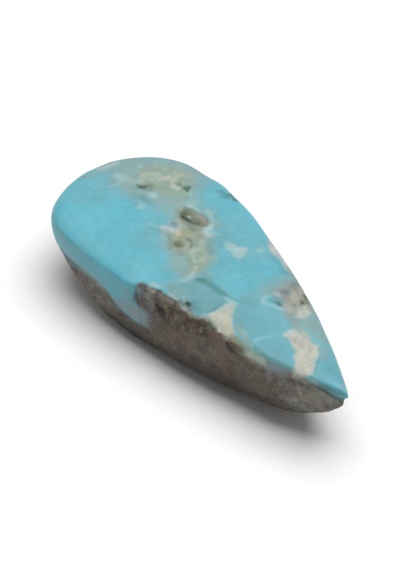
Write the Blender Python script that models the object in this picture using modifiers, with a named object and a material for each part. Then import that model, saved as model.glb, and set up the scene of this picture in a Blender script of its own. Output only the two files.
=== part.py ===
"""A raw turquoise nugget: one tear-shaped stone, ground flat on top, with host rock on its walls and below.

The long axis is X, with the point at +X. The ground top looks up, and the stone rests on a worn flat under
its thickest part, at z = 0. Everything is worked out in millimetres and turned into metres at the end.
"""

import math
from collections import namedtuple

import bmesh
import bpy
import numpy as np
from mathutils import Matrix, Vector, noise

METRES = 0.001

# A rise or a hollow of the surface: its reach, its height along the normal, and its two ends, or its middle
Form = namedtuple("Form", "reach height start end", defaults=(None,))

# Outline from above: a round end, two long arcs from it, and the point where they meet
LENGTH = 36.5
END_RADIUS = 7.45
SIDE_RADIUS = 79.0
POINT_RADIUS = 0.8

# Section: a flat top over a rounded belly, deepest nearer the round end and rising to both ends
TOP_Z = 6.9
CROWN = 0.15
SHOULDER = 1.1
SHOULDER_POWER = 5.0
BELLY = 6.2
BELLY_X = -6.8
BELLY_POWER = 4.0
POINT_RISE = 2.08
END_RISE = 1.05
KEEL_TURN_X = 13.5

# Mesh: vertices round the hull and rows from bottom to top, then the side of the even faces to be sculpted,
# and the final number of triangles
AROUND = 256
STACKS = 96
TOP_SHARE = 2.0
FINE = 0.22
ROUNDING_PASSES = 6
TRIANGLES = 9400

# Depth below the top of the seam between turquoise and host rock, read along X on each wall
NEAR_SEAM = (
    (-18.0, 2.5), (-12.0, 2.4), (-6.0, 2.7), (-3.3, 3.5), (-1.9, 0.5), (6.0, 0.4), (10.0, 1.1), (18.0, 1.5),
)
FAR_SEAM = ((-18.0, 2.5), (-9.0, 3.4), (-4.0, 2.4), (3.0, 1.2), (9.0, 0.7), (14.0, 1.5), (18.0, 1.5))
SEAM_SOFTNESS = 0.4
WALL_TO_WALL = 2.0

# Broad swells and hollows of the hull
SWELLS = (
    Form(3.8, 0.27, (-14.4, -6.6, 5.4)),
    Form(5.0, 0.15, (-18.2, 2.0, 5.8)),
    Form(3.2, 0.13, (-15.6, 5.2, 6.3)),
    Form(2.5, -0.20, (-12.2, 7.0, 6.2)),
    Form(4.0, 0.12, (-5.5, 6.9, 6.3)),
    Form(3.5, -0.20, (-13.0, -5.4, 3.0)),
    Form(3.5, 0.30, (11.5, -2.6, 3.2)),
)

# The host rock that comes up over the near shoulder: its edge worn back, its knob, and the groove beside it
LUMP = (
    Form(2.0, -0.44, (-1.4, -6.5, 5.9), (8.0, -4.1, 6.0)),
    Form(1.5, 0.30, (-1.2, -6.8, 5.1)),
    Form(0.6, -0.16, (-2.5, -6.3, 5.9), (-2.4, -6.6, 4.9)),
)

# The chips along the point's lower edge
CHIPS = (
    Form(0.9, -0.20, (17.6, -0.4, 5.2)),
    Form(0.9, -0.22, (16.5, -0.8, 4.3)),
    Form(0.9, -0.18, (15.0, -1.5, 3.5)),
)

# Pits in the ground top: the large one with its steeper near rim, then the small ones
PITS = (
    Form(1.30, -0.34, (-8.2, 3.0, 6.9), (-6.6, 3.1, 6.9)),
    Form(0.70, -0.26, (-8.2, 2.4, 6.9), (-6.9, 2.3, 6.9)),
    Form(0.90, -0.18, (-5.3, -0.5, 6.9), (-4.6, 0.1, 6.9)),
    Form(0.60, -0.20, (-13.5, 1.1, 6.9), (-13.1, 1.7, 6.9)),
    Form(0.65, -0.24, (-11.4, 4.4, 6.9), (-11.1, 4.6, 6.9)),
    Form(0.55, -0.20, (1.9, -4.1, 6.7), (2.2, -4.0, 6.7)),
)

# How far the places of the small forms are led astray, over what distance, and the noise for X, Y and Z
WANDER = 0.25
WANDER_SIZE = 1.7
WANDER_SEEDS = (11, 12, 13)

# The undercut below the turquoise cap: where along X it sets in, and how steep a face must be to have it
CAP_RUN_IN = (9.0, 12.0)
CAP_GROOVE = 0.20
CAP_GROOVE_WIDTH = 0.75
CAP_STEP = 0.16
CAP_STEP_WIDTH = 0.6
WALL_TILT = (0.3, 0.8)

# Broken faces of the host rock below: the way each looks, and how far it lies from the middle of the belly
BREAKS = (
    ((0.10, 0.75, -0.65), 6.3),
    ((-0.55, 0.35, -0.76), 6.3),
)
BREAK_CENTRE = (-5.0, 0.0, 4.6)
BREAK_SOFTNESS = 0.5
BREAK_LOSS = 0.01

# Relief of the raw rock, and how much stronger it is on faces that look down
ROCK_SIZES_AND_HEIGHTS = ((5.5, 0.12), (2.4, 0.10))
BELLY_EXTRA = 1.6
BELLY_TILT = (0.7, 0.95)

# The slight wave that grinding left on the top
TOP_WAVE = 0.05
TOP_WAVE_SIZE = 7.0
TOP_WAVE_SEED = 9

# The worn flat that the stone rests on: its middle, its reach, and how much of the relief is worn off it
FLAT_CENTRE = (-3.5, 0.0)
FLAT_REACH = (2.0, 6.0)
FLAT_HEIGHT = 1.0
FLAT_WEAR = 0.85
FLAT_SNAP = 0.03

NOISE_SHIFT = Vector((17.3, 5.1, 9.7))

TURQUOISE = ("turquoise", (0.153, 0.497, 0.600, 1.0), 0.38)
HOST_ROCK = ("host rock", (0.090, 0.077, 0.066, 1.0), 0.85)


def clear_scene():
    for old in list(bpy.data.objects):
        bpy.data.objects.remove(old)


def smooth(value):
    """0 below 0, 1 above 1, and a soft S between them."""
    clipped = np.clip(value, 0.0, 1.0)
    return clipped * clipped * (3.0 - 2.0 * clipped)


def fade(value, start, end):
    """0 up to the start, 1 past the end, and a soft S between them."""
    return smooth((value - start) / (end - start))


def outline_arcs():
    """The round end's centre, the far side arc's centre, and the angles that the side arc runs between."""
    point_x = LENGTH / 2
    end = Vector((-point_x + END_RADIUS, 0.0))
    reach = SIDE_RADIUS - END_RADIUS
    gap = point_x - end.x
    lean = (gap**2 + reach**2 - SIDE_RADIUS**2) / (2 * gap * reach)
    centre = Vector((end.x + reach * lean, -reach * math.sqrt(1 - lean**2)))
    at_point = math.atan2(point_x - centre.x, -centre.y)
    at_end = math.asin(-lean)
    return end, centre, at_point, at_end


def outline_at(share, arcs):
    """A place on the outline, and the one on the middle line that it faces, for a share of the way round."""
    end, centre, at_point, at_end = arcs
    side = 1.0 if share <= 0.5 else -1.0
    along = min(share, 1.0 - share) * 2.0
    side_length = SIDE_RADIUS * (at_point - at_end)
    end_length = END_RADIUS * (math.pi / 2 - at_end)
    walked = along * (side_length + end_length)
    if walked < side_length:
        angle = at_point - walked / SIDE_RADIUS
        outward = Vector((math.sin(angle), math.cos(angle)))
        edge = centre + SIDE_RADIUS * outward
        middle_x = min(edge.x - outward.x * edge.y / outward.y, LENGTH / 2 - POINT_RADIUS)
    else:
        angle = at_end - (walked - side_length) / END_RADIUS
        edge = end + END_RADIUS * Vector((math.sin(angle), math.cos(angle)))
        middle_x = end.x
    return Vector((edge.x, side * edge.y)), Vector((middle_x, 0.0))


def belly_depth(x):
    """How far the belly hangs below the shoulder at x: deepest at BELLY_X, turned up close to the point."""
    if x > BELLY_X:
        away, power = (x - BELLY_X) / (LENGTH / 2 - BELLY_X), POINT_RISE
    else:
        away, power = (BELLY_X - x) / (BELLY_X + LENGTH / 2), END_RISE
    turned = min(max(x - KEEL_TURN_X, 0.0) / (LENGTH / 2 - KEEL_TURN_X), 1.0)
    return BELLY * (1.0 - min(away, 1.0) ** power) ** (1.0 / power) * math.sqrt(1.0 - turned**2)


def squared(level, rise, power):
    """The point in this direction on a circle squared off by this power."""
    stretch = (level**power + rise**power) ** (-1.0 / power)
    return level * stretch, rise * stretch


def blank():
    """The smooth hull: a sphere, with its equator led round the outline and its halves squared off."""
    arcs = outline_arcs()
    heart = Vector((BELLY_X, 0.0))
    bm = bmesh.new()
    bmesh.ops.create_uvsphere(bm, u_segments=AROUND, v_segments=STACKS, radius=1.0)
    for vertex in bm.verts:
        share = (math.atan2(vertex.co.y, vertex.co.x) / math.tau) % 1.0
        above = vertex.co.z >= 0
        power = SHOULDER_POWER if above else BELLY_POWER
        rise = vertex.co.z * TOP_SHARE if above else -vertex.co.z
        spread, rise = squared(math.hypot(vertex.co.x, vertex.co.y), rise, power)
        edge, middle = outline_at(share, arcs)
        place = heart.lerp(middle, spread).lerp(edge, spread)
        rim = TOP_Z - CROWN - SHOULDER
        if above:
            z = rim + SHOULDER * rise + CROWN * (1.0 - spread**2)
        else:
            z = rim - belly_depth(place.x) * rise
        vertex.co = (place.x, place.y, z)
    mesh = bpy.data.meshes.new("blank")
    bm.to_mesh(mesh)
    bm.free()
    return mesh


def with_modifiers(mesh, *settings):
    """The mesh after a row of modifiers, each given as its kind and its values."""
    obj = bpy.data.objects.new("working", mesh)
    bpy.context.scene.collection.objects.link(obj)
    for kind, values in settings:
        modifier = obj.modifiers.new(kind, kind)
        for name, value in values.items():
            setattr(modifier, name, value)
    made = bpy.data.meshes.new_from_object(obj.evaluated_get(bpy.context.evaluated_depsgraph_get()))
    bpy.data.objects.remove(obj)
    return made


def evened(mesh):
    """The same form with small faces of one size, its edges rounded a little."""
    remesh = ("REMESH", {"mode": "VOXEL", "voxel_size": FINE})
    return with_modifiers(mesh, remesh, ("SMOOTH", {"iterations": ROUNDING_PASSES}))


def thinned(mesh):
    """The sculpted form in fewer faces, kept where it bends."""
    mesh.calc_loop_triangles()
    share = TRIANGLES / len(mesh.loop_triangles)
    return with_modifiers(mesh, ("DECIMATE", {"ratio": share, "use_collapse_triangulate": True}))


def noise_field(points, size, seed):
    """Smooth noise between about -1 and 1, with forms of one size."""
    return np.array([noise.noise(Vector(point) / size + NOISE_SHIFT * seed) for point in points])


def distance_to_run(points, start, end):
    """How far each point is from a straight run between two places."""
    start, end = np.array(start), np.array(end)
    run = end - start
    share = np.clip((points - start) @ run / max(run @ run, 1e-9), 0.0, 1.0)
    return np.linalg.norm(points - start - share[:, None] * run, axis=1)


def height_of(forms, points):
    """The height that a list of forms adds at each point."""
    height = np.zeros(len(points))
    for form in forms:
        away = distance_to_run(points, form.start, form.end or form.start)
        height += form.height * (1.0 - fade(away, 0.0, form.reach))
    return height


def wandered(points):
    """The points, led a little astray."""
    astray = [noise_field(points, WANDER_SIZE, seed) for seed in WANDER_SEEDS]
    return points + WANDER * np.stack(astray, axis=1)


def seam_depth(points):
    """The depth below the top at which the host rock begins, at each point's place round the stone."""
    near = np.interp(points[:, 0], *zip(*NEAR_SEAM))
    far = np.interp(points[:, 0], *zip(*FAR_SEAM))
    return near + (far - near) * fade(points[:, 1], -WALL_TO_WALL, WALL_TO_WALL)


def below_seam(points):
    return TOP_Z - points[:, 2] - seam_depth(points)


def rock_share(points):
    """0 on turquoise, 1 on host rock, and soft over the seam."""
    return fade(below_seam(points), -SEAM_SOFTNESS, SEAM_SOFTNESS)


def cap_ledge(points, normals):
    """The ledge where the turquoise cap overhangs the rock near the point."""
    below = below_seam(points)
    on_wall = 1.0 - fade(np.abs(normals[:, 2]), *WALL_TILT)
    groove = CAP_GROOVE * (1.0 - fade(np.abs(below), 0.0, CAP_GROOVE_WIDTH))
    step = CAP_STEP * fade(below, 0.0, CAP_STEP_WIDTH)
    return -(groove + step) * on_wall * fade(points[:, 0], *CAP_RUN_IN)


def raw_relief(points, normals):
    """The lumps and hollows of raw rock, stronger underneath than on the walls."""
    height = np.zeros(len(points))
    for seed, (size, rise) in enumerate(ROCK_SIZES_AND_HEIGHTS, start=1):
        height += rise * noise_field(points, size, seed)
    from_flat = np.linalg.norm(points[:, :2] - np.array(FLAT_CENTRE), axis=1)
    near_flat = (1.0 - fade(from_flat, *FLAT_REACH)) * (1.0 - fade(points[:, 2], 0.0, FLAT_HEIGHT))
    stronger = 1.0 + BELLY_EXTRA * fade(-normals[:, 2], *BELLY_TILT)
    return height * rock_share(points) * stronger * (1.0 - FLAT_WEAR * near_flat)


def broken_back(points):
    """Each break takes off what stands out past its plane."""
    centre = np.array(BREAK_CENTRE)
    for way, distance in BREAKS:
        way = np.array(way) / np.linalg.norm(way)
        past = (points - centre) @ way - distance
        taken = (past + np.sqrt(past**2 + BREAK_SOFTNESS**2)) / 2 - BREAK_LOSS
        points = points - np.maximum(taken, 0.0)[:, None] * way
    return points


def sculpted(mesh):
    """The hull with its breaks, swells, lump, ledge, chips, pits and raw relief, cut off flat at z = 0."""
    points = np.array([v.co for v in mesh.vertices])
    normals = np.array([v.normal for v in mesh.vertices])
    points = broken_back(points)
    height = height_of(SWELLS, points) + height_of(LUMP + CHIPS + PITS, wandered(points))
    height += cap_ledge(points, normals) + raw_relief(points, normals)
    height += TOP_WAVE * noise_field(points, TOP_WAVE_SIZE, TOP_WAVE_SEED) * (1.0 - rock_share(points))
    points = points + height[:, None] * normals
    points[:, 2] = np.maximum(points[:, 2], 0.0)
    mesh.vertices.foreach_set("co", points.ravel())
    mesh.update()
    return mesh


def levelled(mesh):
    """The mesh with the worn flat true at z = 0 again, which thinning leaves a hair off it."""
    for vertex in mesh.vertices:
        if vertex.co.z < FLAT_SNAP:
            vertex.co.z = 0.0
    return mesh


def centred(mesh):
    """The mesh in metres, with the middle of its box on the Z axis."""
    corners = np.array([v.co for v in mesh.vertices])
    middle = (corners.min(axis=0) + corners.max(axis=0)) / 2
    mesh.transform(Matrix.Translation((-middle[0], -middle[1], 0.0)))
    mesh.transform(Matrix.Scale(METRES, 4))
    return mesh


def mineral(name, colour, roughness):
    material = bpy.data.materials.new(name)
    material.use_nodes = True
    shader = material.node_tree.nodes["Principled BSDF"]
    shader.inputs["Base Color"].default_value = colour
    shader.inputs["Roughness"].default_value = roughness
    material.diffuse_color = colour
    return material


def paint(mesh):
    """Turquoise on every face above the seam, host rock on the others."""
    mesh.materials.clear()
    mesh.materials.append(mineral(*TURQUOISE))
    mesh.materials.append(mineral(*HOST_ROCK))
    centres = np.array([face.center for face in mesh.polygons])
    rock = rock_share(centres) > 0.5
    mesh.polygons.foreach_set("material_index", rock.astype(np.int32))


def build():
    clear_scene()
    mesh = levelled(thinned(sculpted(evened(blank()))))
    paint(mesh)
    centred(mesh)
    mesh.shade_smooth()
    nugget = bpy.data.objects.new("nugget", mesh)
    collection = bpy.data.collections.new("turquoise nugget")
    bpy.context.scene.collection.children.link(collection)
    collection.objects.link(nugget)
    return nugget


build()
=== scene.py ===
"""Looks of the raw turquoise nugget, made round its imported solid, which stays the fixed frame.

The stone keeps the solid's form and size. A finer skin replaces the solid: it carries the small relief of
each mineral in its shape, and one value per point for each mineral, which the material turns into colour,
gloss and grain. Places are in millimetres in the solid's own frame: the point is at +X, the photographed
wall looks to -Y.
"""

import math
from collections import namedtuple

import bmesh
import bpy
import numpy as np
from mathutils import Matrix, Vector, noise


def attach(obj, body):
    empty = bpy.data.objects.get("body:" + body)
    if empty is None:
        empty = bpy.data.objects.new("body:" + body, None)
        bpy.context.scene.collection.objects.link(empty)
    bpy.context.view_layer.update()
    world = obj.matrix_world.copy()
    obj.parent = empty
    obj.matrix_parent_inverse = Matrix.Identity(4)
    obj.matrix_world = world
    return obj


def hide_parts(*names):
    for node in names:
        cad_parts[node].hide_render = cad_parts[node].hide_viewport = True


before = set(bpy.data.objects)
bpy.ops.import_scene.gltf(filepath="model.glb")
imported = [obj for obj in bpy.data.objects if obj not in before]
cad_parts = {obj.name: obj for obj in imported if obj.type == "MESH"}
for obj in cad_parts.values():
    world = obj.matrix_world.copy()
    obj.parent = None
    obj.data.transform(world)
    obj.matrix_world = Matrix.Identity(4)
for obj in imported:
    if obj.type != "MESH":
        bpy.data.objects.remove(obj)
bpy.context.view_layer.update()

MM = 1000.0
NODE = "nugget"

# The skin: how close two of the solid's points are to be taken as one, in metres; the side of the skin's
# faces; and how often it is smoothed to lose the solid's facets
WELD = 1e-7
FINE = 0.118
SMOOTHING = 9

# A mark of one mineral, drawn on one side: how strong it is, how soft its edge is, half its width where it
# is a stroke, and its points. A patch has no width and is filled.
Mark = namedtuple("Mark", "mineral strength edge width points")


def patch(mineral, strength, edge, *points):
    return Mark(mineral, strength, edge, None, points)


def stroke(mineral, strength, edge, width, *points):
    return Mark(mineral, strength, edge, width, points)


# Marks on the ground top, by X and Y. Later marks lie over earlier ones.
CELLS = (
    patch("aqua", 0.75, 1.6, (-18.4, -1), (-18, 3.6), (-14, 7.4), (-10.6, 7.4), (-9.6, 4.8), (-6.4, 5),
          (-2, 7.2), (10, 4.2), (18.4, 0.4), (13.6, -2.4), (9, -3.6), (4, -5), (0.6, -5.2), (-2, -4),
          (-3.4, -2.6), (-6.4, -2.2), (-8.4, -1.8), (-10, 0), (-13, -1.4)),
    patch("turquoise", 0.7, 0.7, (0.7, 4.2), (2.2, 4.4), (3.2, 3.4), (3.5, 1.6), (3.2, 0), (1.2, -0.6),
          (0.2, 0.6)),
    patch("lagoon", 0.9, 0.4, (10, -0.7), (12, -1), (12.6, -1.7), (10.4, -2.3), (9.6, -1.8)),
    patch("lagoon", 0.95, 0.4, (13.6, 1), (15.6, 0.8), (17, 0.1), (15.6, -0.6), (14.4, 0)),
    patch("azure", 0.4, 0.4, (13.9, 0.9), (15.6, 0.7), (17, 0.1), (15.6, -0.6), (14.6, 0)),
    patch("teal", 0.35, 0.5, (5.6, 0.4), (9, 0.5), (9.1, -1.4), (6.4, -1.6), (5.4, -0.8)),
    patch("turquoise", 0.8, 0.7, (-10, 6.8), (-7, 6.8), (-6.6, 5.6), (-9.4, 5.2)),
    patch("pale", 0.45, 1.3, (-17.6, -0.6), (-16.6, -3.6), (-14.4, -4.6), (-12.6, -2.6), (-13, -0.6)),
    patch("haze", 0.4, 0.9, (-10.6, 0.2), (-8.6, 0.4), (-7.4, 1), (-8.8, 4.4), (-10.6, 3.6)),
    patch("teal", 0.35, 0.8, (-9.2, -0.4), (-7.4, -0.2), (-7, -1.8), (-4.6, -2), (-3, -3.2), (-6.6, -3.4)),
    patch("teal", 0.4, 0.8, (-5.4, 4.6), (-3.4, 3.4), (-2.6, 2), (-4.2, 2), (-5.6, 3.4)),
    patch("haze", 0.7, 0.7, (3.4, 4.9), (4.9, 4.7), (5.2, 2), (4.6, 0.8), (3.7, 1.6)),
    patch("teal", 0.8, 0.45, (3.7, 0.9), (5, 0.7), (6, 0), (5.4, -0.9), (4.4, -0.9)),
    patch("pale", 0.6, 0.6, (5.4, 0.6), (7.4, 1), (9.4, 0.9), (9.3, -0.2), (7.6, 0.4)),
    patch("teal", 0.55, 0.6, (5.2, -1.4), (7, -1.8), (8.8, -1.8), (8.8, -2.7), (7, -2.8), (6, -2.4)),
    patch("teal", 0.9, 0.22, (0.1, -2.2), (0.5, -1.5), (1.6, -1.2), (3.4, -1.2), (4.2, -1.6), (4.3, -3),
          (4.2, -4), (2.4, -4.3), (0.4, -4.6), (-0.4, -4.5), (-0.1, -3.2)),
    patch("pale", 0.3, 0.5, (0.8, -2), (2.6, -1.9), (2.8, -2.8), (1.2, -3)),
    patch("haze", 0.5, 0.35, (0.2, -3.8), (1.4, -3.6), (1.8, -4.3), (0.2, -4.6)),
    patch("haze", 0.5, 0.6, (-0.9, -3.2), (-0.1, -3.2), (0.1, -4.6), (-0.8, -4.6)),
    patch("teal", 0.75, 0.4, (9.6, -2.2), (11.4, -2.3), (13.2, -1.7), (13.2, -2.3), (10.4, -3.2),
          (9.2, -3)),
    patch("teal", 0.5, 0.5, (12.4, 1.9), (14.4, 1.3), (16.4, 0.8), (14.6, 0.8), (13.4, 1)),
    patch("mauve", 0.5, 0.3, (16.4, 0.7), (18, 0.2), (17.4, -0.2)),
)

ROUND_END = (
    patch("haze", 0.85, 1.1, (-17.2, 2.6), (-15.4, 5.6), (-13.4, 6.7), (-11.4, 6.6), (-10.3, 5.2),
          (-9.4, 4.2), (-8.9, 2.6), (-9.6, 1), (-11, 0.2), (-13, -0.6), (-15.4, -0.6), (-16.8, 0.6)),
    patch("sage", 0.85, 0.6, (-15, 4.6), (-13.4, 5.5), (-12, 5.3), (-11, 4.5), (-10, 3.4), (-10.6, 2.2),
          (-12, 1.8), (-13.8, 1.4), (-15, 2), (-15.4, 3.2)),
    stroke("mauve", 0.8, 0.45, 0.35, (-16, 4.6), (-15, 5.6), (-13.4, 6.5), (-12.6, 6.6)),
    stroke("pale", 0.5, 0.4, 0.3, (-15.6, 4.6), (-14.6, 5.4)),
    stroke("mauve", 0.7, 0.4, 0.35, (-15.4, 3.4), (-14.9, 3)),
    stroke("mauve", 0.35, 0.4, 0.3, (-14.4, 5), (-13.8, 4.6)),
    stroke("beige", 0.4, 0.4, 0.3, (-12.9, 4.6), (-12.5, 5.4)),
    stroke("celery", 0.9, 0.3, 0.28, (-14.35, 2.2), (-14.2, 2.8), (-13.9, 3.4)),
    stroke("celery", 0.6, 0.3, 0.26, (-13.7, 3), (-13.3, 2.6)),
    stroke("cream", 0.75, 0.28, 0.26, (-13.15, 3.2), (-12.9, 3.8), (-12.5, 4)),
    stroke("celery", 0.9, 0.25, 0.26, (-12.4, 3.9), (-11.75, 3.45)),
    stroke("celery", 0.55, 0.4, 0.28, (-14.1, 1), (-13.9, 1.6), (-13.9, 2.2)),
    stroke("ivory", 0.3, 0.4, 0.3, (-13.3, 4.5), (-12.8, 4.6)),
    stroke("sage", 0.9, 0.25, 0.3, (-12.6, 2.4), (-11.6, 2.3)),
    patch("olive", 0.5, 0.2, (-12.3, 4.15), (-11.6, 4.2), (-11.2, 3.9), (-11.9, 3.75)),
    patch("olive", 0.55, 0.35, (-13.2, 2), (-12.4, 1.9), (-12, 1.3), (-12.8, 0.9), (-13.5, 1.3)),
    patch("deep", 0.45, 0.35, (-13.4, 0.7), (-12.2, 0.6), (-11, 0.8), (-10.3, 0.3), (-11.2, -0.1),
          (-12.8, 0.1)),
    patch("pine", 0.95, 0.16, (-13.65, 1.05), (-13.35, 1.5), (-13.1, 1.85), (-12.85, 1.4), (-12.6, 1.15),
          (-12.8, 0.85), (-13.3, 0.85)),
    stroke("dark", 0.6, 0.16, 0.1, (-13.3, 1.1), (-13.1, 1.4)),
    patch("pine", 1, 0.14, (-11.4, 4.6), (-11.15, 4.75), (-10.8, 4.35), (-10.4, 3.95), (-10.5, 3.78),
          (-11, 3.9), (-11.4, 4.15)),
    stroke("milk", 0.7, 0.12, 0.07, (-10.75, 4.65), (-10.4, 4.25), (-9.9, 3.9)),
    stroke("white", 0.95, 0.14, 0.13, (-11.3, 3.65), (-11.15, 3.4)),
    stroke("cream", 0.6, 0.16, 0.12, (-11.9, 3.4), (-11.5, 3.3)),
    patch("milk", 0.85, 0.25, (-12.1, 1.2), (-11.7, 1.6), (-11.1, 1.4), (-11.2, 0.9), (-11.9, 0.9)),
    patch("ice", 1, 0.2, (-11.4, 0), (-10.7, -0.05), (-10.2, -0.6), (-10.7, -1)),
    patch("milk", 0.8, 0.35, (-15.9, 0.4), (-15.1, 0.9), (-14.5, 1), (-14.5, 0.3), (-15.4, -0.1)),
    stroke("milk", 0.4, 0.3, 0.2, (-14.6, -0.1), (-14.4, -1)),
    stroke("milk", 0.6, 0.2, 0.16, (-15.8, 2.6), (-15.5, 2.5)),
    stroke("milk", 0.4, 0.25, 0.2, (-12.6, 0.4), (-12.2, 0.3)),
    stroke("mauve", 0.75, 0.35, 0.3, (-17.7, -0.4), (-17.6, 1.6), (-17, 3)),
    stroke("milk", 0.7, 0.3, 0.2, (-16.9, 0.1), (-16.9, -0.5)),
    stroke("haze", 0.6, 0.5, 0.35, (-17, 2), (-16.8, 0), (-17.1, -1.8)),
    stroke("white", 0.8, 0.3, 0.24, (-17.3, 1.2), (-17.2, 0.3), (-17.45, -0.3)),
)

PIT = (
    patch("sage", 0.35, 0.6, (-9.5, 2.6), (-8.6, 3.9), (-6.8, 4.5), (-4.8, 3.6), (-4, 2.2), (-6, 1),
          (-8.8, 0.8)),
    stroke("khaki", 0.7, 0.3, 0.22, (-8.9, 2.4), (-8.3, 1.5), (-7.4, 1.15)),
    patch("umber", 0.95, 0.18, (-8.8, 2.6), (-8.6, 3), (-8, 3.2), (-7.2, 3.4), (-6.4, 3.35), (-5.7, 3),
          (-5.5, 2.5), (-5.8, 2.1), (-6.4, 1.7), (-6.9, 1.35), (-7.5, 1.3), (-8.2, 1.7)),
    stroke("taupe", 0.9, 0.25, 0.2, (-7.6, 3.1), (-6.9, 3.15), (-6, 2.9)),
    stroke("moss", 0.6, 0.2, 0.2, (-6.6, 2.4), (-5.9, 2.3)),
    stroke("khaki", 0.5, 0.2, 0.16, (-8.3, 3), (-7.5, 2.8)),
    stroke("dark", 0.5, 0.2, 0.16, (-8.4, 2.8), (-8.2, 2.3), (-7.9, 1.9)),
    stroke("dark", 1, 0.22, 0.24, (-7.7, 1.7), (-7.1, 1.7)),
    stroke("jet", 0.4, 0.14, 0.1, (-7.6, 1.65), (-7.2, 1.6)),
    stroke("dark", 0.9, 0.2, 0.17, (-7.4, 2.05), (-6.6, 1.8), (-6.2, 1.95)),
    stroke("cream", 0.3, 0.1, 0.09, (-7.95, 2.5), (-7.65, 2.3)),
    stroke("milk", 0.75, 0.14, 0.09, (-9, 3), (-8.6, 3.25), (-7.8, 3.4)),
    stroke("milk", 0.75, 0.2, 0.16, (-7.4, 3.75), (-6.95, 3.9), (-6.4, 3.65), (-5.8, 3.4)),
    stroke("white", 0.4, 0.16, 0.1, (-7, 3.8), (-6.9, 4.3)),
    stroke("white", 0.95, 0.22, 0.22, (-5.4, 3), (-5.1, 2.6), (-4.95, 2.1), (-4.3, 1.9)),
    stroke("ice", 0.8, 0.3, 0.25, (-4.7, 2.5), (-4.4, 2.1)),
    stroke("milk", 0.5, 0.25, 0.16, (-4.3, 2.2), (-4, 2.7)),
    stroke("milk", 0.6, 0.14, 0.08, (-5.9, 3.2), (-5.5, 2.9)),
)

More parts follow.
